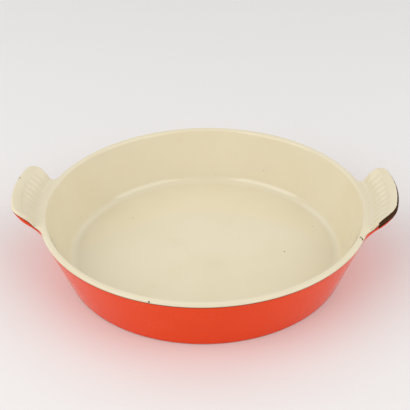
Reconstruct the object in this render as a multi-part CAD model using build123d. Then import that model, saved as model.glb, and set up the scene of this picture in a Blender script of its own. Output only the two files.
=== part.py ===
import os
from math import acos, asin, atan2, cos, degrees, hypot, pi, radians, sin, sqrt, tan

from build123d import *

os.makedirs("parts", exist_ok=True)

# A round gratin dish with two shell ears. Lengths are in mm and +Z is up.
# The origin is on the standing plane, on the axis of the bowl. X runs along the ears.
# The named sizes are those of the bare iron, and each coat of enamel is laid over it.

# Bowl
rim_radius = 119.5
rim_height = 45.4
rim_width = 3.9
wall_draft = radians(20.4)
rim_outer_round = 0.9
rim_inner_round = 1.5
floor_thickness = 3.2
floor_fillet = 7.8

# Foot ring and the recess inside it
foot_recess = 1.3
foot_ring_width = 5.5
foot_corner_round = 1.8
recess_fillet = 0.6

# Ears: outline at the level of the rim
ear_tip_reach = 133.6
ear_tip_radius = 98.0
ear_corner_radius = 6.4
ear_corner_offset = 24.4
ear_neck_radius = 12.4

# Ears: profile seen from the side
ear_top_start = 120.4
ear_top_hollow = 4.0
ear_top_slope = radians(54.3)
ear_top_radius = 45.0
ear_root_depth = 11.5
ear_under_slope = radians(42.7)
ear_blank_reach = 148.0
ear_blank_top = 17.5
ear_blank_bottom = 15.0

# Ears: ribbed field inside a plain border
border_width = 5.5
field_start = 124.6
field_depth = 0.6
groove_count = 9
groove_pitch = radians(2.8)
groove_radius = 2.6
groove_depth = 0.9
groove_start_slope = radians(20.0)
groove_path_radius = 90.0

# Coats of enamel, measured square to the iron
ground_thickness = 0.15
colour_thickness = 0.35
seam_drop = 1.7
seam_gap = 0.3
bare_foot_height = 0.4

# Overrun of every cutting body, and the play when faces are told apart by their slope
overrun = 20.0
slope_match = 0.03


def wall_radius(height, coat):
    """Outer radius of the bowl's wall at a height."""
    return rim_radius - (rim_height - height) * tan(wall_draft) + coat / cos(wall_draft)


def cavity_radius(height):
    """Inner radius of the iron wall at a height."""
    return wall_radius(height, 0) - rim_width


def polar(centre, radius, angle):
    """Point at a radius and an angle from a centre."""
    return (centre[0] + radius * cos(angle), centre[1] + radius * sin(angle))


def rounded(face, corners):
    """Profile with a round at each listed corner."""
    for point, radius in corners:
        vertex = face.vertices().sort_by_distance((point[0], point[1], 0))[0]
        face = fillet(vertex, radius)
    return face


def turned(face):
    """Body of revolution about the axis of the bowl, from a profile of radius and height."""
    return revolve(Plane.XZ * face, Axis.Z, 360)


def clip_box(low, high, reach):
    """Part of the profile plane on the right of the axis, between two heights."""
    return Pos(reach / 2, (low + high) / 2) * Rectangle(reach, high - low)


def ear_root(coat):
    """Point of the radial section where the underside of an ear leaves the wall."""
    height = rim_height - ear_root_depth
    reach = coat / (1 + sin(wall_draft + ear_under_slope))
    radius = wall_radius(height, 0) + reach * (cos(wall_draft) + sin(ear_under_slope))
    return (radius, height - reach * (sin(wall_draft) + cos(ear_under_slope)))


def lower_bowl(coat):
    """Solid bowl up to the root of the ears, with its foot ring and recess."""
    ring_outer = wall_radius(0, 0)
    ring_inner = ring_outer - foot_ring_width
    outline = Polyline(
        (-overrun, foot_recess),
        (ring_inner, foot_recess),
        (ring_inner, 0),
        (ring_outer, 0),
        (rim_radius, rim_height),
        (-overrun, rim_height),
        close=True,
    )
    face = rounded(
        make_face(outline),
        [((ring_outer, 0), foot_corner_round), ((ring_inner, foot_recess), recess_fillet)],
    )
    if coat:
        face = offset(face, coat, kind=Kind.ARC)
    return turned(face & clip_box(0, ear_root(coat)[1], rim_radius + overrun))


def ear_centres():
    """Centres of the tip, corner and neck arcs of an ear, each arc tangent to the next."""
    tip = (ear_tip_reach - ear_tip_radius, 0)
    lead = sqrt((ear_tip_radius - ear_corner_radius) ** 2 - ear_corner_offset**2)
    corner = (tip[0] + lead, ear_corner_offset)
    to_axis = rim_radius + ear_neck_radius
    to_corner = ear_corner_radius + ear_neck_radius
    distance = hypot(*corner)
    swing = acos((to_axis**2 + distance**2 - to_corner**2) / (2 * to_axis * distance))
    neck = polar((0, 0), to_axis, atan2(corner[1], corner[0]) + swing)
    return tip, corner, neck


def plan_outline(growth, height):
    """Outline of the rim and both ears at a height, grown outward all round."""
    tip, corner, neck = ear_centres()
    tip_end = atan2(corner[1] - tip[1], corner[0] - tip[0])
    corner_end = atan2(neck[1] - corner[1], neck[0] - corner[0])
    neck_start = corner_end - pi
    neck_end = atan2(neck[1], neck[0]) - pi
    tip_radius = ear_tip_radius + growth
    corner_radius = ear_corner_radius + growth
    neck_radius = ear_neck_radius - growth
    half = [
        polar(tip, tip_radius, 0),
        polar(tip, tip_radius, tip_end),
        polar(corner, corner_radius, (tip_end + corner_end) / 2),
        polar(corner, corner_radius, corner_end),
        polar(neck, neck_radius, (neck_start + neck_end) / 2),
        polar(neck, neck_radius, neck_end),
    ]
    edges = []
    for x_sign in (1, -1):
        for y_sign in (1, -1):
            spots = [(x * x_sign, y * y_sign, height) for x, y in half]
            edges.append(ThreePointArc(spots[1], spots[2], spots[3]))
            edges.append(ThreePointArc(spots[3], spots[4], spots[5]))
        ends = [(half[1][0] * x_sign, half[1][1] * y_sign, height) for y_sign in (1, -1)]
        edges.append(ThreePointArc(ends[0], (half[0][0] * x_sign, 0, height), ends[1]))
    for y_sign in (1, -1):
        ends = [(half[5][0] * x_sign, half[5][1] * y_sign, height) for x_sign in (1, -1)]
        crown = (0, (rim_radius + growth) * y_sign, height)
        edges.append(ThreePointArc(ends[0], crown, ends[1]))
    return make_face(edges)


def top_centre():
    """Centre of the swelling arc along the top of an ear, as radius and height."""
    span = ear_top_hollow + ear_top_radius
    return (
        ear_top_start + span * sin(ear_top_slope),
        rim_height + ear_top_hollow - span * cos(ear_top_slope),
    )


def top_height(radius):
    """Height of the iron along the swelling arc of an ear's top."""
    centre = top_centre()
    return centre[1] + sqrt(ear_top_radius**2 - (centre[0] - radius) ** 2)


def ear_band(coat):
    """Disc of the rim's level that rises and spreads into the plate of the ears."""
    root = ear_root(coat)
    level = rim_height + coat
    centre = top_centre()
    hollow = (ear_top_start, rim_height + ear_top_hollow)
    hollow_radius = ear_top_hollow - coat
    swell_radius = ear_top_radius + coat
    turn = -pi / 2 + ear_top_slope
    swell_start = pi / 2 + ear_top_slope
    swell_end = pi / 2 + asin((centre[0] - ear_blank_reach) / swell_radius)
    far_top = polar(centre, swell_radius, swell_end)
    far_under = (far_top[0], root[1] + (far_top[0] - root[0]) * tan(ear_under_slope))
    joint = polar(hollow, hollow_radius, turn)
    edges = [
        Polyline((0, level), (0, root[1]), root, far_under, far_top),
        ThreePointArc(far_top, polar(centre, swell_radius, (swell_start + swell_end) / 2), joint),
        ThreePointArc(
            joint,
            polar(hollow, hollow_radius, (turn - pi / 2) / 2),
            (ear_top_start, level),
        ),
        Line((ear_top_start, level), (0, level)),
    ]
    return turned(make_face(edges))


def shared_edges(faces, others):
    """Edges between two groups of faces."""
    other_edges = [edge for face in others for edge in face.edges()]
    own_edges = [edge for face in faces for edge in face.edges()]
    return [edge for edge in own_edges if any(edge.is_same(other) for other in other_edges)]


def facing(body, slope):
    """Faces of a body whose middle faces up or down by a given share, as a sine."""
    return [face for face in body.faces() if abs(face.normal_at().Z - slope) < slope_match]


def rim_and_ears(coat):
    """Rim zone of the bowl with both ears, rounded along the whole outer edge."""
    low = rim_height - ear_blank_bottom
    high = rim_height + ear_blank_top
    skin = coat / cos(wall_draft)
    prism = loft(
        [
            plan_outline(skin - ear_blank_bottom * tan(wall_draft), low),
            plan_outline(skin + ear_blank_top * tan(wall_draft), high),
        ],
        ruled=True,
    )
    body = prism & ear_band(coat)
    side_slope = -sin(wall_draft)
    top_faces = [face for face in body.faces() if face.normal_at().Z > slope_match]
    return fillet(shared_edges(top_faces, facing(body, side_slope)), rim_outer_round + coat)


def cavity(coat):
    """Inside of the bowl, with the fillet where the wall meets the floor."""
    floor = foot_recess + floor_thickness
    top = rim_height + overrun
    outline = Polyline(
        (-overrun, floor),
        (cavity_radius(floor), floor),
        (cavity_radius(top), top),
        (-overrun, top),
        close=True,
    )
    face = rounded(make_face(outline), [((cavity_radius(floor), floor), floor_fillet)])
    if coat:
        face = offset(face, -coat, kind=Kind.ARC)
    return turned(face & clip_box(0, top, rim_radius + overrun))


def arc_centre(inner, outer, radius):
    """Centre of the arc of a radius that swells upward through two points."""
    middle = ((inner[0] + outer[0]) / 2, (inner[1] + outer[1]) / 2)
    span = hypot(outer[0] - inner[0], outer[1] - inner[1])
    drop = sqrt(radius**2 - (span / 2) ** 2)
    lean = (outer[0] - inner[0]) / span
    rise = (outer[1] - inner[1]) / span
    return (middle[0] + drop * rise, middle[1] - drop * lean)


def below_top(radius, depth):
    """Point square below the top of an ear at a radius, as radius and height."""
    centre = top_centre()
    lean = acos((radius - centre[0]) / ear_top_radius)
    return polar(centre, ear_top_radius - depth, lean)


def tip_edge():
    """Radius of the upper edge at the tip of an ear."""
    rise = top_height(ear_tip_reach) - rim_height
    return ear_tip_reach + rise * tan(wall_draft)


def field_outline(growth, height):
    """Outline of the field of one ear at a height, open towards the bowl."""
    tip, corner, _ = ear_centres()
    tip_end = atan2(corner[1] - tip[1], corner[0] - tip[0])
    corner_radius = ear_corner_radius + growth
    side = corner[1] + corner_radius
    half = [
        polar(tip, ear_tip_radius + growth, 0),
        polar(tip, ear_tip_radius + growth, tip_end),
        polar(corner, corner_radius, (tip_end + pi / 2) / 2),
        (corner[0], side),
        (cavity_radius(rim_height), side),
    ]
    left = [(x, y, height) for x, y in half]
    right = [(x, -y, height) for x, y in half]
    edges = [ThreePointArc(right[1], left[0], left[1])]
    for spots in (left, right):
        edges.append(ThreePointArc(spots[1], spots[2], spots[3]))
        edges.append(Line(spots[3], spots[4]))
    edges.append(Line(left[4], right[4]))
    return make_face(edges)


def field_prism(coat):
    """Column over the field of one ear, drafted like the ear so that the border stays even."""
    inset = border_width + coat / cos(wall_draft)
    return loft(
        [
            field_outline(-inset, rim_height),
            field_outline(ear_blank_top * tan(wall_draft) - inset, rim_height + ear_blank_top),
        ],
        ruled=True,
    )


def field_cutter(coat):
    """Body that sinks the field of one ear, from nothing near the rim to its full depth."""
    inner = below_top(field_start, 0)
    outer = below_top(tip_edge() - border_width, field_depth)
    centre = arc_centre(inner, outer, ear_top_radius)
    radius = ear_top_radius + coat
    start = acos((inner[0] - centre[0]) / radius)
    end = acos((tip_edge() - centre[0]) / radius)
    top = rim_height + ear_blank_top + overrun
    low = polar(centre, radius, start)
    high = polar(centre, radius, end)
    edges = [
        ThreePointArc(low, polar(centre, radius, (start + end) / 2), high),
        Polyline(high, (high[0], top), (low[0], top), low),
    ]
    return turned(make_face(edges))


def groove(coat):
    """Groove on the middle line of an ear, deepest at the border and running out inward."""
    hollow = (ear_top_start, rim_height + ear_top_hollow)
    inner = polar(hollow, ear_top_hollow - groove_radius, groove_start_slope - pi / 2)
    outer = below_top(tip_edge(), field_depth + groove_depth - groove_radius)
    centre = arc_centre(inner, outer, groove_path_radius)
    span = hypot(outer[0] - inner[0], outer[1] - inner[1])
    sweep = 2 * asin(span / (2 * groove_path_radius))
    start = atan2(inner[1] - centre[1], inner[0] - centre[0])
    section = Plane(
        origin=(inner[0], 0, inner[1]),
        x_dir=(cos(start), 0, sin(start)),
        z_dir=(sin(start), 0, -cos(start)),
    )
    circle = section * Circle(groove_radius - coat)
    axis = Axis((centre[0], 0, centre[1]), (0, 1, 0))
    return revolve(circle, axis, degrees(sweep))


def ear_relief(coat):
    """Everything that is cut from the top of one ear."""
    prism = field_prism(coat)
    cuts = [field_cutter(coat) & prism]
    flute = groove(coat)
    for index in range(groove_count):
        turn = (index - (groove_count - 1) / 2) * groove_pitch
        cuts.append(Rot(0, 0, degrees(turn)) * flute & prism)
    return cuts


def dish(coat):
    """The whole casting, grown on every side by a thickness of enamel."""
    body = lower_bowl(coat) + rim_and_ears(coat)
    body -= cavity(coat)
    level = rim_height + coat
    mouth = body.edges().filter_by_position(Axis.Z, level, level).sort_by(Edge.length)[-1]
    body = fillet(mouth, rim_inner_round + coat)
    relief = ear_relief(coat)
    return body - [Rot(0, 0, turn) * cut for turn in (0, 180) for cut in relief]


def seam_zone(drop):
    """Space of the inside, the rim and the ears' tops, ending a given drop below the edge."""
    level = rim_height - drop
    floor = foot_recess + floor_thickness / 2
    centre = top_centre()
    radius = ear_top_radius - drop
    start = pi / 2 + ear_top_slope
    end = pi / 2 + asin((centre[0] - ear_blank_reach) / radius)
    top = rim_height + ear_blank_top + overrun
    joint = polar(centre, radius, start)
    far = polar(centre, radius, end)
    edges = [
        Polyline(
            (0, top),
            (0, floor),
            (cavity_radius(floor) + rim_width / 2, floor),
            (cavity_radius(level) + rim_width / 2, level),
            (ear_top_start, level),
            joint,
        ),
        ThreePointArc(joint, polar(centre, radius, (start + end) / 2), far),
        Polyline(far, (far[0], top), (0, top)),
    ]
    return turned(make_face(edges))


def above_foot(body):
    """Part of a coat that is left above the foot ring, which stands bare."""
    size = 2 * (ear_blank_reach + overrun)
    height = rim_height + ear_blank_top + overrun
    return body & Pos(0, 0, bare_foot_height + height / 2) * Box(size, size, height)


iron = dish(0)
ground = dish(ground_thickness)
finished = dish(ground_thickness + colour_thickness)
ground_coat = above_foot(ground - iron)
colour_coat = above_foot(finished - ground)
cream = colour_coat & seam_zone(seam_drop - seam_gap / 2)
orange = colour_coat - seam_zone(seam_drop + seam_gap / 2)
base, outside = orange.solids().sort_by(SortBy.AREA)

nodes = {
    "iron_casting": iron,
    "ground_coat": ground_coat,
    "cream_enamel": cream,
    "orange_enamel": outside,
    "base_enamel": base,
}
for name, body in nodes.items():
    export_step(body, f"parts/{name}.step")
    print(name, len(body.solids()), "solids", round(body.volume), "mm3")
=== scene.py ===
from math import acos, asin, atan2, cos, hypot, pi, radians, sin, sqrt, tan

import bpy
import numpy as np
from mathutils import Matrix, Vector


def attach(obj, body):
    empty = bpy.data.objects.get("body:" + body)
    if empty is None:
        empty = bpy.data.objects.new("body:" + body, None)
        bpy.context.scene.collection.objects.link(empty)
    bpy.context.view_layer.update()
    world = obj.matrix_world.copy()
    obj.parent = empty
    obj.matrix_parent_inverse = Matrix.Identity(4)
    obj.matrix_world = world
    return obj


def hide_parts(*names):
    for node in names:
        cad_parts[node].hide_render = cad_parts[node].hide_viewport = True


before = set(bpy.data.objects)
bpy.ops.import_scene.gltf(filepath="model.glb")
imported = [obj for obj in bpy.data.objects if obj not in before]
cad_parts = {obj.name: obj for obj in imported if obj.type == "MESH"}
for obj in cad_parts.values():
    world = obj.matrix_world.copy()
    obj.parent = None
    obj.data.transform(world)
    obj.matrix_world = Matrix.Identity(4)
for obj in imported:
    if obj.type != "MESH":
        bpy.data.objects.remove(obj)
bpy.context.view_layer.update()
mm = 0.001
print("frame loaded")


# Bare iron sizes in mm. Each coat is the same form grown outward.
castingSize = {
    "rimRadius": 119.5, "rimHeight": 45.4, "rimWidth": 3.9, "draft": radians(20.4),
    "rimOuterRound": 0.9, "rimInnerRound": 1.5, "floorHeight": 4.5, "floorFillet": 7.8,
    "recess": 1.3, "ringWidth": 5.5, "footRound": 1.8, "bareFoot": 0.4,
    "tipReach": 133.6, "tipRadius": 99.5, "cornerRadius": 6.6, "cornerOffset": 24.1, "neckRadius": 12.3,
    "topStart": 119.5, "hollow": 4.5, "topSlope": radians(60.0), "topRadius": 26.5,
    "rootDepth": 11.8, "underSlope": radians(42.2), "rootBlend": 7.0, "lowerEdgeBlend": 3.0,
}
# Depth of each coat's outer face over the iron, and the seam's drop below the top and its width, in mm
coatDepth = {"ground": 0.15, "enamel": 0.5, "seam": 2.05, "seamGap": 0.8}
# Stations round the outline for a quarter of the dish, and rows along each profile
skinRows = {
    "circle": 46, "neck": 56, "corner": 18, "tip": 38,
    "outside": 44, "upper": 58, "inside": 12, "fillet": 10, "floor": 10, "base": 8,
    "lip": 24, "topPath": 90, "mouth": 7, "foot": 5, "wall": 30, "underPath": 40, "side": 30,
    "footFlat": 5, "footTurn": 6,
}
# How closely rows stand on each stretch of a skin, and how far, in mm or in rows, the closer stretches reach
rowWeight = {
    "top": 1.5, "byEdge": 3.0, "edgeReach": 3, "byMouth": 2.5, "mouthReach": 2.5, "lip": 4.5,
    "wall": 0.45, "under": 0.9, "side": 1.3, "foot": 1.2, "footRows": 8,
}
# How the skins are laid, mostly in mm: the limits of the searches, and the small steps at hidden edges
skinFit = {
    "lowest": 28.0, "highest": 66.0, "rounds": 40, "ironRounds": 6, "probe": 0.01, "leastLean": 0.2,
    "leastRise": 0.3, "neckReach": 45, "sharpest": 0.98, "spread": 5, "pathPull": 0.8, "tuck": 0.05, "roll": 0.12,
    "mouthBand": 3.2, "rootGap": 0.4, "footTuck": 0.9955, "ringEdge": 0.25, "poleShare": 0.02,
    "patchOverlap": 0.45, "ironEase": 1.0,
}
# Rounded edge of the base patch: mm out from the ring and down from its face
patchEdge = [(-0.6, 0.0), (-0.15, 0.03), (-0.02, 0.15)]
size = castingSize
slope = tan(size["draft"])
coat = coatDepth["enamel"]


def wallRadius(z, depth=0.0):
    return size["rimRadius"] - (size["rimHeight"] - z) * slope + depth / cos(size["draft"])


def insideRadius(z, depth=0.0):
    return wallRadius(z) - size["rimWidth"] - depth / cos(size["draft"])


def earCentres():
    tip = (size["tipReach"] - size["tipRadius"], 0.0)
    lead = sqrt((size["tipRadius"] - size["cornerRadius"]) ** 2 - size["cornerOffset"] ** 2)
    corner = (tip[0] + lead, size["cornerOffset"])
    toAxis = size["rimRadius"] + size["neckRadius"]
    toCorner = size["cornerRadius"] + size["neckRadius"]
    away = hypot(*corner)
    turn = atan2(corner[1], corner[0]) + acos((toAxis ** 2 + away ** 2 - toCorner ** 2) / (2 * toAxis * away))
    return tip, corner, (toAxis * cos(turn), toAxis * sin(turn)), turn


tipCentre, cornerCentre, neckCentre, neckAngle = earCentres()
tipEnd = atan2(cornerCentre[1], cornerCentre[0] - tipCentre[0])
cornerEnd = atan2(neckCentre[1] - cornerCentre[1], neckCentre[0] - cornerCentre[0])
span = size["hollow"] + size["topRadius"]
hollowCentre = (size["topStart"], size["rimHeight"] + size["hollow"])
swellCentre = (hollowCentre[0] + span * sin(size["topSlope"]), hollowCentre[1] - span * cos(size["topSlope"]))
rootHeight = size["rimHeight"] - size["rootDepth"]


# Distance outside the plan outline at rim level, and the way out, for points in mm
def outlineDistance(x, y):
    ax, ay = np.abs(x), np.abs(y)
    arms = [(ax - c[0], ay - c[1]) for c in (neckCentre, cornerCentre, tipCentre, (0.0, 0.0))]
    far = [np.hypot(*a) + 1e-9 for a in arms]
    neckTurn = np.arctan2(arms[0][1], arms[0][0]) % (2 * pi)
    cornerTurn = np.arctan2(arms[1][1], arms[1][0])
    tipTurn = np.arctan2(arms[2][1], arms[2][0])
    play = 1e-6                                                     # no gap is left where two arcs meet
    inNeck = (neckTurn > neckAngle + pi) & (neckTurn < cornerEnd + pi) & (far[0] < skinFit["neckReach"])
    inCorner = ~inNeck & (cornerTurn > tipEnd - play) & (cornerTurn < cornerEnd + play)
    inTip = ~inNeck & ~inCorner & (tipTurn < tipEnd + play)
    cases = [inNeck, inCorner, inTip]
    onEar = [size["neckRadius"] - far[0], far[1] - size["cornerRadius"], far[2] - size["tipRadius"]]
    away = np.select(cases, onEar, far[3] - size["rimRadius"])
    ways = []
    for axis in (0, 1):
        neck, corner, tip, middle = (arm[axis] / length for arm, length in zip(arms, far))
        ways.append(np.select(cases, [-neck, corner, tip], middle))
    return away, ways[0] * np.sign(x + 1e-12), ways[1] * np.sign(y + 1e-12)


# Distance above the top of the rim and ears, and the way up as radius and height
def topDistance(r, z):
    hx, hz = r - hollowCentre[0], z - hollowCentre[1]
    sx, sz = r - swellCentre[0], z - swellCentre[1]
    hollowFar, swellFar = np.hypot(hx, hz) + 1e-9, np.hypot(sx, sz) + 1e-9
    flat = hx <= 0
    inHollow = ~flat & (np.arctan2(hx, -hz) < size["topSlope"])
    cases = [flat, inHollow]
    away = np.select(cases, [z - size["rimHeight"], size["hollow"] - hollowFar], swellFar - size["topRadius"])
    upR = np.select(cases, [0 * r, -hx / hollowFar], sx / swellFar)
    upZ = np.select(cases, [1 + 0 * r, -hz / hollowFar], sz / swellFar)
    return away, upR, upZ


# Distance from the overlap of two half spaces whose shared edge is rounded
def roundMax(a, b, cosAngle, radius):
    a1, b1 = a + radius, b + radius
    cosAngle = np.clip(cosAngle, -skinFit["sharpest"], skinFit["sharpest"])
    edge = np.sqrt(np.maximum(a1 * a1 + b1 * b1 - 2 * a1 * b1 * cosAngle, 0) / (1 - cosAngle ** 2)) - radius
    return np.where((a1 > b1 * cosAngle) & (b1 > a1 * cosAngle), edge, np.maximum(a, b))


def softMax(a, b, blend):
    near = np.maximum(blend - np.abs(a - b), 0)
    return np.maximum(a, b) + near * near / (4 * np.maximum(blend, 1e-6))


# Distance outside the bare casting without its ribs, for points in mm
def castingDistance(p):
    x, y, z = p[:, 0], p[:, 1], p[:, 2]
    c, s = cos(size["draft"]), sin(size["draft"])
    r = np.hypot(x, y) + 1e-9
    away, outX, outY = outlineDistance(x, y)
    side = (away - (z - size["rimHeight"]) * slope) * c
    top, upR, upZ = topDistance(r, z)
    upper = roundMax(side, top, c * upR * (outX * x + outY * y) / r - s * upZ, size["rimOuterRound"])
    wall = (r - wallRadius(z)) * c
    lean = size["underSlope"]
    under = ((rootHeight - z) + (r - wallRadius(rootHeight)) * tan(lean)) * cos(lean)
    body = -softMax(-wall, -under, size["rootBlend"])
    outer = softMax(upper, body, size["lowerEdgeBlend"] * np.clip((wall - side) / 2, 0, 1))
    hole = roundMax((r - insideRadius(z)) * c, size["floorHeight"] - z, s, size["floorFillet"])
    body = roundMax(outer, -hole, s, size["rimInnerRound"])
    return roundMax(body, -z, s, size["footRound"])


# Moves points in mm onto the casting grown by a depth
def settle(p, depth, rounds=4):
    p = p.copy()
    probe = skinFit["probe"]
    for _ in range(rounds):
        value = castingDistance(p) - depth
        change = [castingDistance(p + d) - castingDistance(p - d) for d in np.eye(3) * probe]
        lean = np.stack(change, 1) / (2 * probe)
        p -= lean * (value / np.maximum((lean ** 2).sum(1), skinFit["leastLean"]))[:, None]
    return p


# The height on the drafted side of each station at which a rising measure reaches a value
def sideHeight(stations, measure, value):
    low, high = (np.full(len(stations["x"]), skinFit[end]) for end in ("lowest", "highest"))
    for _ in range(skinFit["rounds"]):
        z = (low + high) / 2
        p = sidePoint(stations, z)
        below = measure(np.hypot(p[:, 0], p[:, 1]), z) < value
        low, high = np.where(below, z, low), np.where(below, high, z)
    return (low + high) / 2


def sidePoint(stations, z):
    grow = (z - size["rimHeight"]) * slope + coat / cos(size["draft"])
    x, y = (stations[axis] + stations[way] * grow for axis, way in (("x", "outX"), ("y", "outY")))
    return np.stack([x, y, z + 0 * grow], 1)


# Points of the plan outline all round, each with its way out and the angle it has on the bowl
def outlineStations():
    rows = []
    for centre, radius, start, end, count, sign in (
        (tipCentre, size["tipRadius"], 0.0, tipEnd, skinRows["tip"], 1),
        (cornerCentre, size["cornerRadius"], tipEnd, cornerEnd, skinRows["corner"], 1),
        (neckCentre, size["neckRadius"], cornerEnd + pi, neckAngle + pi, skinRows["neck"], -1),
        ((0.0, 0.0), size["rimRadius"], neckAngle, pi / 2, skinRows["circle"], 1),
    ):
        for i in range(count):
            turn = start + (end - start) * i / count
            outX, outY = cos(turn), sin(turn)
            rows.append((centre[0] + radius * outX, centre[1] + radius * outY, sign * outX, sign * outY))
    rows.append((0.0, size["rimRadius"], 0.0, 1.0))
    quarter = np.array(rows)
    grown = quarter[:, :2] + skinFit["spread"] * quarter[:, 2:]     # spread evenly a little outside
    length = np.concatenate([[0], np.cumsum(np.hypot(*np.diff(grown, axis=0).T))])
    onEar = skinRows["tip"] + skinRows["corner"] + skinRows["neck"]
    turn = np.arctan2(quarter[:, 1], quarter[:, 0])
    turn[:onEar] = neckAngle * length[:onEar] / length[onEar]
    full = []
    for flipX, flipY in ((1, 1), (-1, 1), (-1, -1), (1, -1)):
        part = quarter * [flipX, flipY, flipX, flipY]
        angle = np.arctan2(np.sin(turn) * flipY, np.cos(turn) * flipX)
        part = np.column_stack([part, angle])
        full.append(part[:-1] if flipX == flipY else part[:0:-1])
    full = np.concatenate(full)
    return {"x": full[:, 0], "y": full[:, 1], "outX": full[:, 2], "outY": full[:, 3], "turn": full[:, 4]}


# A smooth path in plan from one row of points to another, leaving and arriving in given directions
def planPath(start, startWay, end, endWay, count):
    reach = np.hypot(*(end - start).T)[:, None] * skinFit["pathPull"]
    t = np.linspace(0, 1, count)[:, None, None]
    return ((2 * t ** 3 - 3 * t ** 2 + 1) * start + (t ** 3 - 2 * t ** 2 + t) * startWay * reach
            + (3 * t ** 2 - 2 * t ** 3) * end + (t ** 3 - t ** 2) * endWay * reach)


# Rows that divide each station's own line evenly by weight
def shareOut(lines, weights, count):
    lines, weights = np.swapaxes(lines, 0, 1), weights.T
    out = np.empty((count, lines.shape[0], 3))
    for i, line in enumerate(lines):
        steps = np.linalg.norm(np.diff(line, axis=0), axis=1)
        cost = np.concatenate([[0], np.cumsum(steps * weights[i][1:] + 1e-5)])
        at = np.linspace(0, cost[-1], count)
        for k in range(3):
            out[:, i, k] = np.interp(at, cost, line[:, k])
    return out


def ringRows(stations, points):
    turn = stations["turn"]
    return np.array([np.stack([r * np.cos(turn), r * np.sin(turn), z + 0 * turn], 1) for r, z in points])


def lineTo(start, end, count):
    across, rise = end[0] - start[0], end[1] - start[1]
    return [(start[0] + across * i / count, start[1] + rise * i / count) for i in range(count)]


def addObject(name, data):
    piece = bpy.data.objects.new(name, data)
    bpy.context.scene.collection.objects.link(piece)
    return piece


# A net of quads from rows of points in mm, with a fan at each end that is given a pole
def netObject(name, rows, firstPole=None, lastPole=None):
    count, around = rows.shape[:2]
    verts = rows.reshape(-1, 3)
    i, j = np.meshgrid(np.arange(around), np.arange(count - 1))
    a, b = j * around + i, j * around + (i + 1) % around
    quads = np.stack([a, b, b + around, a + around], -1).reshape(-1, 4).tolist()
    if firstPole is not None:
        verts = np.vstack([verts, firstPole])
        quads += [[(k + 1) % around, k, len(verts) - 1] for k in range(around)]
    if lastPole is not None:
        verts = np.vstack([verts, lastPole])
        last = (count - 1) * around
        quads += [[last + k, last + (k + 1) % around, len(verts) - 1] for k in range(around)]
    mesh = bpy.data.meshes.new(name)
    mesh.from_pydata((verts * mm).tolist(), [], quads)
    mesh.update()
    mesh.shade_smooth()
    return addObject(name, mesh)


def pointValues(piece, name, values):
    attribute = piece.data.attributes.new(name, "FLOAT", "POINT")
    attribute.data.foreach_set("value", np.asarray(values, np.float32))


stations = outlineStations()
outWay = np.stack([stations["outX"], stations["outY"]], 1)
bowlWay = np.stack([np.cos(stations["turn"]), np.sin(stations["turn"])], 1)


def belowTop(r, z):
    return topDistance(r, z)[0] - coat


def aboveUnder(r, z):
    lean = size["underSlope"]
    return (z - rootHeight) - (r - wallRadius(rootHeight)) * tan(lean) + coat / cos(lean)


# Rolls the edge row of a skin over and gives the two rows that close it: tucked in behind, and rolled
def rollEdge(flat, edge, beside):
    row = flat[edge].copy()
    tucked = settle(row, coatDepth["ground"] - skinFit["tuck"])
    rolled = settle(row, coat - skinFit["roll"])
    way = (flat[beside] - row) / np.linalg.norm(flat[beside] - row, axis=1)[:, None]
    flat[edge] = row + way * skinFit["roll"]
    return tucked, rolled


# Cream enamel: from the seam over the edge, the rim and the ears, down the inside to the middle
def creamRows():
    seamZ = sideHeight(stations, belowTop, -coatDepth["seam"])
    edgeZ = sideHeight(stations, belowTop, 0.0)
    steps = np.linspace(0, 1, skinRows["lip"])[:, None]
    lip = np.array([sidePoint(stations, z) for z in seamZ + (edgeZ - seamZ) * steps])
    edge = lip[-1]
    mouthRadius = insideRadius(size["rimHeight"] + coat, coat)
    path = planPath(edge[:, :2], -outWay, mouthRadius * bowlWay, -bowlWay, skinRows["topPath"])
    r = np.hypot(path[..., 0], path[..., 1])
    z = np.full(r.shape, size["rimHeight"] + coat)
    for _ in range(skinFit["rounds"]):
        z -= belowTop(r, z) / np.maximum(topDistance(r, z)[2], skinFit["leastRise"])
    top = np.concatenate([path, z[..., None]], 2)
    line = np.concatenate([lip, top[1:]])
    fromEdge = np.hypot(line[..., 0] - edge[:, 0], line[..., 1] - edge[:, 1])
    fromMouth = np.hypot(line[..., 0], line[..., 1]) - mouthRadius
    weights = rowWeight["top"] + rowWeight["byEdge"] * (fromEdge < rowWeight["edgeReach"])
    weights += rowWeight["byMouth"] * (fromMouth < rowWeight["mouthReach"])
    weights[:skinRows["lip"]] = rowWeight["lip"]
    upper = shareOut(line, weights, skinRows["upper"])
    low = size["floorHeight"] + coat
    filletRadius = size["floorFillet"] - coat
    rise = pi / 2 - size["draft"]
    centreZ = low + filletRadius
    wallFoot = insideRadius(low, coat)
    tangent = filletRadius * tan(rise / 2)
    centreR = wallFoot - tangent
    mouth = (mouthRadius, size["rimHeight"] + coat)
    filletTop = (centreR + filletRadius * sin(rise), centreZ - filletRadius * cos(rise))
    near = (mouth[0] - skinFit["mouthBand"] * slope, mouth[1] - skinFit["mouthBand"])
    points = lineTo(mouth, near, skinRows["mouth"])[1:] + lineTo(near, filletTop, skinRows["inside"])
    for i in range(skinRows["fillet"]):
        turn = rise * (1 - i / skinRows["fillet"])
        points.append((centreR + filletRadius * sin(turn), centreZ - filletRadius * cos(turn)))
    points += lineTo((centreR, low), (0, low), skinRows["floor"])
    rows = np.concatenate([upper, ringRows(stations, points)])
    flat = settle(rows.reshape(-1, 3), coat).reshape(rows.shape)
    tucked, rolled = rollEdge(flat, 0, 1)
    return np.concatenate([[tucked], [rolled], flat]), (0, 0, low)


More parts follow.
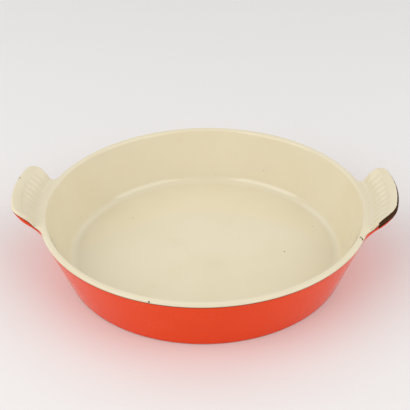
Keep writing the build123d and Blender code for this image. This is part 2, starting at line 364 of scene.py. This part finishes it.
# Orange enamel: from the foot up the wall, out under the ears and up to the seam
def orangeRows():
    low = size["bareFoot"]
    cornerR = wallRadius(size["footRound"]) - size["footRound"] / cos(size["draft"])
    reach = size["footRound"] + coat
    firstTurn = -asin((size["footRound"] - low) / reach)
    shares = [i / skinRows["foot"] for i in range(skinRows["foot"] + 1)]
    turns = [firstTurn * (1 - share) - size["draft"] * share for share in shares]
    foot = [(cornerR + reach * cos(t), size["footRound"] + reach * sin(t)) for t in turns]
    topZ = rootHeight - skinFit["rootGap"]
    wallTop = (wallRadius(topZ, coat), topZ)
    points = foot + lineTo(foot[-1], wallTop, skinRows["wall"])[1:] + [wallTop]
    wall = ringRows(stations, points)
    lowerZ = sideHeight(stations, aboveUnder, 0.0)
    lowerEdge = sidePoint(stations, lowerZ)
    path = planPath(wallTop[0] * bowlWay, bowlWay, lowerEdge[:, :2], outWay, skinRows["underPath"])
    r = np.hypot(path[..., 0], path[..., 1])
    z = rootHeight + (r - wallRadius(rootHeight)) * tan(size["underSlope"]) - coat / cos(size["underSlope"])
    under = np.concatenate([path, z[..., None]], 2)
    seamZ = sideHeight(stations, belowTop, -coatDepth["seam"] - coatDepth["seamGap"])
    steps = np.linspace(0, 1, skinRows["side"])[:, None]
    side = np.array([sidePoint(stations, h) for h in lowerZ + (seamZ - lowerZ) * steps])
    line = np.concatenate([wall, under[1:-1], side])
    weights = np.full(line.shape[:2], rowWeight["wall"])
    weights[len(wall):] = rowWeight["under"]
    weights[len(wall) + len(under) - 2:] = rowWeight["side"]
    weights[:rowWeight["footRows"]] = rowWeight["foot"]
    body = shareOut(line, weights, skinRows["outside"])
    flat = settle(body.reshape(-1, 3), coat).reshape(body.shape)
    flat[0] = body[0]
    tucked, rolled = rollEdge(flat, -1, -2)
    footIn = flat[0] * [skinFit["footTuck"], skinFit["footTuck"], 1]
    return np.concatenate([[footIn], flat, [rolled], [tucked]])


# The base patch inside the foot ring
def baseRows():
    top = size["recess"] - coat
    ring = wallRadius(0) - size["ringWidth"] - coat
    points = lineTo((ring * skinFit["poleShare"], top), (ring + patchEdge[0][0], top), skinRows["base"])
    points += [(ring + out, top - down) for out, down in patchEdge]
    points += [(ring, size["bareFoot"]), (ring + skinFit["patchOverlap"], size["bareFoot"])]
    return ringRows(stations, points), (0, 0, top)


# The casting under its coats: the base, the foot ring, the outside, the rim and the inside
def ironRows(orange, cream):
    ring = wallRadius(0) - size["ringWidth"]
    reach = size["footRound"]
    cornerR = wallRadius(reach) - reach / cos(size["draft"])
    edge = skinFit["ringEdge"]
    points = lineTo((ring * skinFit["poleShare"], size["recess"]), (ring, size["recess"]), skinRows["base"])
    points += [(ring, size["recess"]), (ring, edge), (ring + edge, 0)]
    points += lineTo((ring + edge, 0), (cornerR, 0), skinRows["footFlat"])[1:]
    turns = np.linspace(-pi / 2, -pi / 4, skinRows["footTurn"])
    points += [(cornerR + reach * cos(t), reach + reach * sin(t)) for t in turns]
    skin = np.concatenate([orange[2:-3], cream[3:]])                # without the closed edges
    bare = settle(skin.reshape(-1, 3), 0.0, skinFit["ironRounds"]).reshape(skin.shape)
    return np.concatenate([ringRows(stations, points), bare])


creamNet, floorPole = creamRows()
orangeNet = orangeRows()
basePatch, basePole = baseRows()
creamSkin = netObject("creamEnamel", creamNet, lastPole=floorPole)
orangeSkin = netObject("orangeEnamel", orangeNet)
baseSkin = netObject("baseEnamel", basePatch, firstPole=basePole)
ironPoles = [(0, 0, size["recess"]), (0, 0, size["floorHeight"])]
ironSkin = netObject("castIron", ironRows(orangeNet, creamNet), *ironPoles)
for skin in (creamSkin, orangeSkin, baseSkin, ironSkin):
    co = np.empty(len(skin.data.vertices) * 3)
    skin.data.vertices.foreach_get("co", co)
    co = co.reshape(-1, 3) / mm
    r = np.hypot(co[:, 0], co[:, 1])
    away = outlineDistance(co[:, 0], co[:, 1])[0] - (co[:, 2] - size["rimHeight"]) * slope
    ease = skinFit["ironEase"] if skin is ironSkin else 0.0         # the iron sinks before the cream does
    pointValues(skin, "fieldInset", (ease - away) * mm)
    pointValues(skin, "belowTop", -belowTop(r, co[:, 2]) * mm)
print("enamel skins", [len(s.data.vertices) for s in (creamSkin, orangeSkin, baseSkin, ironSkin)])


# A socket's value is a link or a plain number
def join(tree, value, socket):
    if isinstance(value, bpy.types.NodeSocket):
        tree.links.new(value, socket)
    else:
        socket.default_value = value


def calc(tree, operation, *values):
    node = tree.nodes.new("ShaderNodeMath")
    node.operation = operation
    for value, socket in zip(values, node.inputs):
        join(tree, value, socket)
    return node.outputs[0]


def rampTo(tree, value, low, high, start=0.0, end=1.0, smooth=True):
    node = tree.nodes.new("ShaderNodeMapRange")
    node.interpolation_type = "SMOOTHSTEP" if smooth else "LINEAR"
    sockets = ("Value", "From Min", "From Max", "To Min", "To Max")
    for socket, item in zip(sockets, (value, low, high, start, end)):
        join(tree, item, node.inputs[socket])
    return node.outputs["Result"]


def newTree(name, sizes):
    tree = bpy.data.node_groups.new(name, "GeometryNodeTree")
    tree.is_modifier = True
    tree.interface.new_socket("Geometry", in_out="INPUT", socket_type="NodeSocketGeometry")
    for label, value in sizes.items():
        kind = "NodeSocketInt" if isinstance(value, int) else "NodeSocketFloat"
        tree.interface.new_socket(label, in_out="INPUT", socket_type=kind).default_value = value
    tree.interface.new_socket("Geometry", in_out="OUTPUT", socket_type="NodeSocketGeometry")
    given = tree.nodes.new("NodeGroupInput")
    return tree, {socket.name: socket for socket in given.outputs if socket.name}


def finishTree(tree, geometry, material):
    realize = tree.nodes.new("GeometryNodeRealizeInstances")
    finish = tree.nodes.new("GeometryNodeSetMaterial")
    finish.inputs["Material"].default_value = material
    out = tree.nodes.new("NodeGroupOutput")
    tree.links.new(geometry, realize.inputs[0])
    tree.links.new(realize.outputs[0], finish.inputs["Geometry"])
    tree.links.new(finish.outputs[0], out.inputs[0])


# Runs a tree on a piece and keeps the result as a plain mesh
def applyTree(piece, tree, sizes):
    modifier = piece.modifiers.new(tree.name, "NODES")
    modifier.node_group = tree
    for item in tree.interface.items_tree:
        if item.in_out == "INPUT" and item.name in sizes:
            modifier[item.identifier] = sizes[item.name]
    bpy.context.view_layer.update()
    graph = bpy.context.evaluated_depsgraph_get()
    shaped = piece.evaluated_get(graph)
    mesh = bpy.data.meshes.new_from_object(shaped, preserve_all_data_layers=True, depsgraph=graph)
    piece.modifiers.clear()
    piece.data = mesh
    mesh.shade_smooth()
    return piece


def newMaterial(name, look):
    colour = look["colour"]
    material = bpy.data.materials.new(name)
    material.use_nodes = True
    material.diffuse_color = (*colour, 1)
    tree = material.node_tree
    shader = tree.nodes["Principled BSDF"]
    shader.inputs["Base Color"].default_value = (*colour, 1)
    shader.inputs["Roughness"].default_value = look["roughness"]
    shader.inputs["IOR"].default_value = look["ior"]
    return material, tree, shader


def objectPlace(tree):
    return tree.nodes.new("ShaderNodeTexCoord").outputs["Object"]


def noise(tree, scale, detail=3.0, rough=0.55, distortion=0.0, shift=(0, 0, 0)):
    move = tree.nodes.new("ShaderNodeMapping")
    move.inputs["Location"].default_value = shift
    node = tree.nodes.new("ShaderNodeTexNoise")
    tree.links.new(objectPlace(tree), move.inputs["Vector"])
    tree.links.new(move.outputs["Vector"], node.inputs["Vector"])
    values = {"Scale": scale, "Detail": detail, "Roughness": rough, "Distortion": distortion}
    for socket, value in values.items():
        node.inputs[socket].default_value = value
    return node.outputs["Fac"]


# Noise about zero, to fray an edge
def ragged(tree, grain, amount):
    return calc(tree, "MULTIPLY", calc(tree, "SUBTRACT", noise(tree, *grain), 0.5), amount)


def specks(tree, scale, low, high):
    cells = tree.nodes.new("ShaderNodeTexVoronoi")
    cells.inputs["Scale"].default_value = scale
    tree.links.new(objectPlace(tree), cells.inputs["Vector"])
    return rampTo(tree, cells.outputs["Distance"], low, high, 1.0, 0.0)


# How much of a second colour shows, from the noise, its levels and the share that a look gives it
def patchShare(tree, look, name):
    amount = rampTo(tree, noise(tree, *look[name + "Grain"]), *look[name + "Levels"])
    return calc(tree, "MULTIPLY", amount, look[name + "Share"])


def blendColour(tree, amount, first, second):
    node = tree.nodes.new("ShaderNodeMix")
    node.data_type = "RGBA"
    join(tree, amount, node.inputs[0])
    for value, socket in ((first, node.inputs[6]), (second, node.inputs[7])):
        join(tree, (*value, 1) if isinstance(value, tuple) else value, socket)
    return node.outputs[2]


def bump(tree, shader, height, distance, strength):
    node = tree.nodes.new("ShaderNodeBump")
    node.inputs["Strength"].default_value = strength
    node.inputs["Distance"].default_value = distance
    tree.links.new(height, node.inputs["Height"])
    tree.links.new(node.outputs["Normal"], shader.inputs["Normal"])


def attributeValue(tree, name):
    node = tree.nodes.new("ShaderNodeAttribute")
    node.attribute_name = name
    return node.outputs["Fac"]


def placeAxes(tree):
    split = tree.nodes.new("ShaderNodeSeparateXYZ")
    tree.links.new(objectPlace(tree), split.inputs[0])
    return split.outputs


# Where the right ear's edge is broken down to the iron, in metres: wide at its front corner, thin at the back
chipSize = {
    "earStart": 0.1222, "earFull": 0.1300, "backWidth": 0.0006, "sideWidth": 0.0013, "frontWidth": 0.0024,
    "backY": 0.024, "sideY": -0.020, "frontY": -0.031, "raggedness": 0.0017, "grain": (260.0, 4, 0.7),
    "deepest": 0.0042, "deepRagged": 2.0, "startBlend": 0.0006, "deepBlend": 0.0003,
    "edgeBlend": (-0.00005, 0.00012),
}
# The bare iron in a chip: its colour, added roughness and shine, and its drop in heights of the orange peel
chipLook = {"colour": (0.052, 0.022, 0.007), "rougher": 0.5, "shine": 0.04, "drop": 4.0}


def chipMask(tree):
    x, y = placeAxes(tree)[:2]
    fray = ragged(tree, chipSize["grain"], chipSize["raggedness"])
    back, side, front = chipSize["backWidth"], chipSize["sideWidth"], chipSize["frontWidth"]
    width = rampTo(tree, y, chipSize["backY"], chipSize["sideY"], back, side)
    wide = rampTo(tree, y, chipSize["sideY"], chipSize["frontY"], 0.0, front - side)
    taper = rampTo(tree, x, chipSize["earStart"], chipSize["earFull"], smooth=False)
    width = calc(tree, "MULTIPLY", calc(tree, "ADD", width, wide), taper)
    edge = calc(tree, "SUBTRACT", calc(tree, "ADD", width, fray), attributeValue(tree, "fieldInset"))
    start, deepest = chipSize["earStart"], chipSize["deepest"]
    onEar = rampTo(tree, calc(tree, "ADD", x, fray), start, start + chipSize["startBlend"])
    deepFray = calc(tree, "MULTIPLY", fray, chipSize["deepRagged"])
    depth = calc(tree, "ADD", attributeValue(tree, "belowTop"), deepFray)
    nearTop = rampTo(tree, depth, deepest, deepest + chipSize["deepBlend"], 1.0, 0.0)
    chip = calc(tree, "MULTIPLY", rampTo(tree, edge, *chipSize["edgeBlend"]), onEar)
    return calc(tree, "MULTIPLY", chip, nearTop)


# Small chips, specks and stains: the place and radius of each in mm, and its strength
creamMarks = {
    "dark": [
        (109.2, -42.3, 45.9, 0.8, 1.0), (109.8, -43.6, 45.8, 0.8, 1.0), (110.3, -44.9, 45.7, 0.9, 1.0),
        (-30.9, -115.6, 44.9, 0.9, 0.9), (-136.9, 11.8, 59.9, 1.0, 0.8), (-117.2, -35.0, 44.6, 1.6, 0.7),
        (-58.9, 42.5, 5.0, 0.7, 0.4), (59.5, -1.9, 5.0, 0.8, 0.6), (45.1, 95.0, 18.7, 0.6, 0.35),
    ],
    "stained": [(-21.9, 9.4, 5.0, 10.0, 0.05), (7.8, -18.7, 5.0, 12.0, 0.05)],
    "darkSoftness": 0.4, "stainedSoftness": 0.8, "grain": (900, 3, 0.6), "raggedness": 0.0008,
}


def markMask(tree, kind):
    total = 0.0
    place = objectPlace(tree)
    fray = ragged(tree, creamMarks["grain"], creamMarks["raggedness"])
    firm = 1 - creamMarks[kind + "Softness"]
    for x, y, z, radius, strength in creamMarks[kind]:
        gap = tree.nodes.new("ShaderNodeVectorMath")
        gap.operation = "DISTANCE"
        tree.links.new(place, gap.inputs[0])
        gap.inputs[1].default_value = (x * mm, y * mm, z * mm)
        away = calc(tree, "ADD", gap.outputs["Value"], fray)
        spot = rampTo(tree, away, radius * mm * firm, radius * mm, strength, 0.0)
        total = calc(tree, "MAXIMUM", spot, total)
    return total


# Puts the chips, the gloss and the orange peel on an enamel of a given colour
def finishEnamel(tree, shader, look, colour, chip):
    tree.links.new(blendColour(tree, chip, colour, chipLook["colour"]), shader.inputs["Base Color"])
    least, most = (look["roughness"] + change for change in look["glossSpread"])
    gloss = rampTo(tree, noise(tree, *look["glossGrain"]), *look["glossLevels"], least, most)
    rougher = calc(tree, "MULTIPLY", chip, chipLook["rougher"])
    tree.links.new(calc(tree, "ADD", gloss, rougher), shader.inputs["Roughness"])
    shine = rampTo(tree, chip, 0.0, 1.0, look["shine"], chipLook["shine"])
    tree.links.new(shine, shader.inputs["Specular IOR Level"])
    finePeel = calc(tree, "MULTIPLY", noise(tree, *look["finePeelGrain"]), look["finePeelShare"])
    peel = calc(tree, "ADD", noise(tree, *look["peelGrain"]), finePeel)
    height = calc(tree, "SUBTRACT", peel, calc(tree, "MULTIPLY", chip, chipLook["drop"]))
    bump(tree, shader, height, look["peelDepth"], look["peelStrength"])


# Cream enamel, thin and glossy over the dark ground coat
creamLook = {
    "colour": (0.76, 0.685, 0.50), "warm": (0.73, 0.63, 0.42), "stain": (0.50, 0.36, 0.20),
    "speck": (0.10, 0.06, 0.04), "roughness": 0.04, "shine": 0.5, "ior": 1.6,
    "driftGrain": (16, 3), "driftLevels": (0.35, 0.7), "driftShare": 0.35,
    "stainGrain": (55, 5, 0.65, 0.6, (3, 1, 0)), "stainLevels": (0.66, 0.80), "stainShare": 0.22,
    "speckSize": (95, 0.035, 0.06),
    "speckGrain": (40, 2, 0.5, 0, (9, 4, 2)), "speckLevels": (0.60, 0.66), "speckShare": 0.35,
    "glossGrain": (30, 4, 0.6, 0, (1, 7, 3)), "glossLevels": (0.3, 0.8), "glossSpread": (-0.01, 0.04),
    "peelGrain": (120, 2, 0.45), "finePeelGrain": (420, 2, 0.5), "finePeelShare": 0.18,
    "peelDepth": 0.00022, "peelStrength": 0.3,
}


def makeCream():
    look = creamLook
    material, tree, shader = newMaterial("creamEnamel", look)
    colour = blendColour(tree, patchShare(tree, look, "drift"), look["colour"], look["warm"])
    colour = blendColour(tree, patchShare(tree, look, "stain"), colour, look["stain"])
    spot = calc(tree, "MULTIPLY", specks(tree, *look["speckSize"]), patchShare(tree, look, "speck"))
    colour = blendColour(tree, spot, colour, look["speck"])
    colour = blendColour(tree, markMask(tree, "stained"), colour, look["stain"])
    chip = calc(tree, "MAXIMUM", chipMask(tree), markMask(tree, "dark"))
    finishEnamel(tree, shader, look, colour, chip)
    return material


# Orange enamel with the fine orange peel of a sprayed coat, and pale dots of painted highlight for the glints on the
# peel
orangeLook = {
    # The pale colour is painted highlight: the glints of light on the orange peel, put into the colour
    "colour": (0.85, 0.058, 0.002), "deep": (0.80, 0.045, 0.001), "paintedHighlight": (0.95, 0.24, 0.11),
    "roughness": 0.13, "shine": 0.14, "ior": 1.5,
    "driftGrain": (22, 3), "driftLevels": (0.35, 0.7), "driftShare": 0.4,
    # Size, grain, levels and share of the pale dots of painted highlight
    "paintedGlintSize": (330, 0.10, 0.20),
    "fleckGrain": (30, 2, 0.5, 0, (2, 2, 5)), "fleckLevels": (0.50, 0.62), "fleckShare": 0.35,
    "glossGrain": (45, 4, 0.6), "glossLevels": (0.3, 0.8), "glossSpread": (-0.04, 0.07),
    "peelGrain": (300, 2, 0.5), "finePeelGrain": (900, 2, 0.5), "finePeelShare": 0.25,
    "peelDepth": 0.00022, "peelStrength": 0.7,
}


def makeOrange():
    look = orangeLook
    material, tree, shader = newMaterial("orangeEnamel", look)
    colour = blendColour(tree, patchShare(tree, look, "drift"), look["colour"], look["deep"])
    # Painted highlight: pale dots that stand in for light glinting on the orange peel
    fleck = calc(tree, "MULTIPLY", specks(tree, *look["paintedGlintSize"]), patchShare(tree, look, "fleck"))
    colour = blendColour(tree, fleck, colour, look["paintedHighlight"])
    finishEnamel(tree, shader, look, colour, chipMask(tree))
    return material


# Dark ground coat, seen as the thin line between the two colours
groundLook = {
    "colour": (0.075, 0.026, 0.014), "light": (0.16, 0.055, 0.028), "roughness": 0.35, "ior": 1.5,
    "lightGrain": (140, 4, 0.6), "lightLevels": (0.35, 0.75),
    "bumpGrain": (500, 3), "bumpDepth": 0.0001, "bumpStrength": 0.6,
}


def makeGround():
    look = groundLook
    material, tree, shader = newMaterial("groundEnamel", look)
    light = rampTo(tree, noise(tree, *look["lightGrain"]), *look["lightLevels"])
    tree.links.new(blendColour(tree, light, look["colour"], look["light"]), shader.inputs["Base Color"])
    bump(tree, shader, noise(tree, *look["bumpGrain"]), look["bumpDepth"], look["bumpStrength"])
    return material


# Bare cast iron with a trace of rust, on the foot ring
ironLook = {
    "colour": (0.055, 0.048, 0.045), "worn": (0.13, 0.115, 0.105), "rust": (0.16, 0.055, 0.022),
    "roughness": 0.55, "ior": 1.5, "metallic": 0.55, "grain": (700, 5, 0.7), "wornLevels": (0.35, 0.7),
    "rustGrain": (60, 5, 0.65, 0.4, (5, 5, 5)), "rustLevels": (0.55, 0.72), "rustShare": 0.5,
    "glossLevels": (0.3, 0.7), "roughnessRange": (0.42, 0.68), "bumpDepth": 0.00025, "bumpStrength": 0.8,
}


def makeIron():
    look = ironLook
    material, tree, shader = newMaterial("castIron", look)
    shader.inputs["Metallic"].default_value = look["metallic"]
    grain = noise(tree, *look["grain"])
    colour = blendColour(tree, rampTo(tree, grain, *look["wornLevels"]), look["colour"], look["worn"])
    colour = blendColour(tree, patchShare(tree, look, "rust"), colour, look["rust"])
    tree.links.new(colour, shader.inputs["Base Color"])
    gloss = rampTo(tree, grain, *look["glossLevels"], *look["roughnessRange"])
    tree.links.new(gloss, shader.inputs["Roughness"])
    bump(tree, shader, grain, look["bumpDepth"], look["bumpStrength"])
    return material


creamEnamel, orangeEnamel, groundEnamel, castIron = makeCream(), makeOrange(), makeGround(), makeIron()
print("finishes made")


# Ribbed field of the ears, in metres: a sunk field with grooves that deepen towards its plain border
earRibs = {
    "Groove Count": 9, "Groove Pitch": radians(2.8), "Groove Half Width": 0.0031, "Groove Depth": 0.00065,
    "Groove Start": 0.1218, "Groove End": 0.1394, "Groove Swell": 0.0003, "Field Start": 0.1246,
    "Field End": 0.1337, "Field Depth": 0.0006, "Border Width": 0.0055, "Border Softness": 0.0016,
}
ribStartBlend = 0.0004


def ribTree(sizes, material):
    tree, given = newTree("earRibs", sizes)
    place = tree.nodes.new("ShaderNodeSeparateXYZ")
    tree.links.new(tree.nodes.new("GeometryNodeInputPosition").outputs[0], place.inputs[0])
    x, y = place.outputs[:2]
    reach = calc(tree, "SQRT", calc(tree, "ADD", calc(tree, "MULTIPLY", x, x), calc(tree, "MULTIPLY", y, y)))
    turn = calc(tree, "ARCTAN2", y, calc(tree, "ABSOLUTE", x))
    share = calc(tree, "DIVIDE", turn, given["Groove Pitch"])
    half = calc(tree, "MULTIPLY", calc(tree, "SUBTRACT", given["Groove Count"], 1.0), 0.5)
    least = calc(tree, "MULTIPLY", half, -1.0)
    nearest = calc(tree, "MINIMUM", calc(tree, "MAXIMUM", calc(tree, "ROUND", share), least), half)
    aside = calc(tree, "ABSOLUTE", calc(tree, "SUBTRACT", share, nearest))
    aside = calc(tree, "MULTIPLY", calc(tree, "MULTIPLY", aside, given["Groove Pitch"]), reach)
    groove = rampTo(tree, aside, 0.0, given["Groove Half Width"], 1.0, 0.0)
    along = rampTo(tree, reach, given["Groove Start"], given["Groove End"], smooth=False)
    swell = calc(tree, "MULTIPLY", calc(tree, "MULTIPLY", along, calc(tree, "SUBTRACT", 1.0, along)), 4.0)
    even = calc(tree, "MULTIPLY", along, given["Groove Depth"])
    deep = calc(tree, "ADD", even, calc(tree, "MULTIPLY", swell, given["Groove Swell"]))
    start, end = given["Field Start"], given["Field End"]
    field = rampTo(tree, reach, start, end, 0.0, given["Field Depth"], smooth=False)
    extra = calc(tree, "MULTIPLY", calc(tree, "MAXIMUM", calc(tree, "SUBTRACT", deep, field), 0.0), groove)
    inset = tree.nodes.new("GeometryNodeInputNamedAttribute")
    inset.data_type = "FLOAT"
    inset.inputs["Name"].default_value = "fieldInset"
    borderEnd = calc(tree, "ADD", given["Border Width"], given["Border Softness"])
    inside = rampTo(tree, inset.outputs["Attribute"], given["Border Width"], borderEnd)
    blendStart = calc(tree, "SUBTRACT", given["Groove Start"], ribStartBlend)
    onEar = rampTo(tree, reach, blendStart, given["Groove Start"])
    depth = calc(tree, "MULTIPLY", calc(tree, "MULTIPLY", calc(tree, "ADD", field, extra), inside), onEar)
    sink = tree.nodes.new("ShaderNodeVectorMath")
    sink.operation = "SCALE"
    tree.links.new(tree.nodes.new("GeometryNodeInputNormal").outputs[0], sink.inputs[0])
    tree.links.new(calc(tree, "MULTIPLY", depth, -1.0), sink.inputs["Scale"])
    move = tree.nodes.new("GeometryNodeSetPosition")
    tree.links.new(given["Geometry"], move.inputs["Geometry"])
    tree.links.new(sink.outputs[0], move.inputs["Offset"])
    finishTree(tree, move.outputs[0], material)
    return tree


applyTree(creamSkin, ribTree(earRibs, creamEnamel), earRibs)
applyTree(ironSkin, ribTree(earRibs, castIron), earRibs)
print("ear ribs sunk", len(creamSkin.data.polygons), "faces")

# The ground coat shows as a bead that follows the seam, and another round the foot
groundBead = {"Bead Radius": 0.00036, "Bead Sides": 8}
# Where the beads' middles lie, in mm: below the coat's face, off the foot's two edges and above the floor
groundLine = {"sink": 0.02, "footInset": 0.35, "ringOut": 0.25, "footHeight": 0.62}


def beadTree(sizes):
    tree, given = newTree("groundBead", sizes)
    path = tree.nodes.new("GeometryNodeMeshToCurve")
    ring = tree.nodes.new("GeometryNodeCurvePrimitiveCircle")
    sweep = tree.nodes.new("GeometryNodeCurveToMesh")
    smooth = tree.nodes.new("GeometryNodeSetShadeSmooth")
    tree.links.new(given["Geometry"], path.inputs["Mesh"])
    tree.links.new(given["Bead Radius"], ring.inputs["Radius"])
    tree.links.new(given["Bead Sides"], ring.inputs["Resolution"])
    tree.links.new(path.outputs[0], sweep.inputs["Curve"])
    tree.links.new(ring.outputs[0], sweep.inputs["Profile Curve"])
    tree.links.new(sweep.outputs[0], smooth.inputs["Geometry"])
    finishTree(tree, smooth.outputs[0], groundEnamel)
    return tree


def groundPath():
    seamZ = sideHeight(stations, belowTop, -coatDepth["seam"] - coatDepth["seamGap"] / 2)
    seam = settle(sidePoint(stations, seamZ), coatDepth["ground"] - groundLine["sink"])
    footR = wallRadius(size["bareFoot"]) - groundLine["footInset"]
    innerR = wallRadius(0) - size["ringWidth"] + groundLine["ringOut"]
    foot = ringRows(stations, [(footR, groundLine["footHeight"]), (innerR, groundLine["footHeight"])])
    loops = [seam, foot[0], foot[1]]
    count = len(seam)
    edges = [(k * count + i, k * count + (i + 1) % count) for k in range(len(loops)) for i in range(count)]
    mesh = bpy.data.meshes.new("groundCoat")
    mesh.from_pydata((np.concatenate(loops) * mm).tolist(), edges, [])
    return addObject("groundCoat", mesh)


groundSkin = applyTree(groundPath(), beadTree(groundBead), groundBead)
for skin, material in ((orangeSkin, orangeEnamel), (baseSkin, orangeEnamel)):
    skin.data.materials.append(material)
print("ground coat laid along the seam")

for piece, node, slotName in (
    (creamSkin, "cream_enamel", "cream_enamel"), (orangeSkin, "orange_enamel", "orange_enamel"),
    (baseSkin, "base_enamel", "orange_enamel"), (groundSkin, "ground_coat", "ground_enamel"),
    (ironSkin, "iron_casting", "iron"),
):
    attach(piece, "root")
    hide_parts(node)
print("pieces set on the casting")


# Pale floor that runs far behind the dish, and softboxes: name, place, aim, width, height, watts and colour
studio = {
    "floor": {"colour": (0.80, 0.79, 0.78), "roughness": 0.6, "ior": 1.5}, "floorSize": 6.0, "world": (1.0, 1.0, 1.0),
    "worldStrength": 0.63,
    "lamps": [
        ("leftSoftbox", (-0.88, -0.56, 0.80), (0, 0, 0.02), 1.25, 1.0, 7.2, (1, 0.99, 0.98)),
        ("leftBack", (-1.0, 0.85, 1.0), (0, 0, 0), 1.0, 1.0, 2.2, (1, 1, 1)),
        ("rightBack", (1.0, 0.85, 1.0), (0, 0, 0), 1.0, 1.0, 1.8, (1, 1, 1)),
        ("rightSoftbox", (0.90, -0.52, 0.80), (0, 0, 0.02), 1.20, 1.0, 5.6, (1, 0.99, 0.98)),
    ],
}


def addStage():
    half = studio["floorSize"] / 2
    mesh = bpy.data.meshes.new("floor")
    corners = [(-half, -half, 0), (half, -half, 0), (half, half, 0), (-half, half, 0)]
    mesh.from_pydata(corners, [], [(0, 1, 2, 3)])
    floor = addObject("floor", mesh)
    floor.data.materials.append(newMaterial("paleFloor", studio["floor"])[0])
    world = bpy.data.worlds.new("studioAir")
    bpy.context.scene.world = world
    world.use_nodes = True
    world.node_tree.nodes["Background"].inputs[0].default_value = (*studio["world"], 1)
    world.node_tree.nodes["Background"].inputs[1].default_value = studio["worldStrength"]
    for name, spot, aim, width, height, watts, colour in studio["lamps"]:
        lamp = bpy.data.lights.new(name, "AREA")
        lamp.shape = "RECTANGLE"
        lamp.size, lamp.size_y = width, height
        lamp.energy = watts
        lamp.color = colour
        holder = addObject(name, lamp)
        holder.location = spot
        holder.rotation_euler = (Vector(aim) - Vector(spot)).to_track_quat("-Z", "Y").to_euler()


# Camera worked out from the rim, base and ears in the photo, 410 px wide at a focal length of 950 px
cameraSet = {
    "elevation": radians(33.5949), "distance": 0.705295, "aimHeight": 0.025, "roll": radians(0.9698),
    "swingAside": -0.0005, "swingUp": 0.0234, "turn": 0.045, "focal": 950 / 410 * 36, "sensor": 36,
    "clipStart": 0.05,
}


def addCamera():
    e = cameraSet["elevation"]
    back = Vector((0, -cos(e), sin(e)))
    spot = back * cameraSet["distance"] + Vector((0, 0, cameraSet["aimHeight"]))
    ahead, right = -back, Vector((1, 0, 0))
    up = right.cross(ahead)
    aside = Matrix.Rotation(cameraSet["swingAside"], 3, up)
    ahead, right = aside @ ahead, aside @ right
    tilt = Matrix.Rotation(cameraSet["swingUp"], 3, right)
    ahead, up = tilt @ ahead, tilt @ up
    roll = Matrix.Rotation(cameraSet["roll"], 3, ahead)
    right, up = roll @ right, roll @ up
    turn = Matrix.Rotation(cameraSet["turn"], 3, "Z")
    basis = Matrix((turn @ right, turn @ up, turn @ -ahead)).transposed().to_4x4()
    camera = bpy.data.cameras.new("camera")
    camera.lens = cameraSet["focal"]
    camera.sensor_width = cameraSet["sensor"]
    camera.clip_start = cameraSet["clipStart"]
    holder = addObject("camera", camera)
    holder.matrix_world = Matrix.Translation(turn @ spot) @ basis
    bpy.context.scene.camera = holder


addStage()
addCamera()
bpy.context.scene.view_settings.view_transform = "Standard"
print("floor, lamps and camera set")
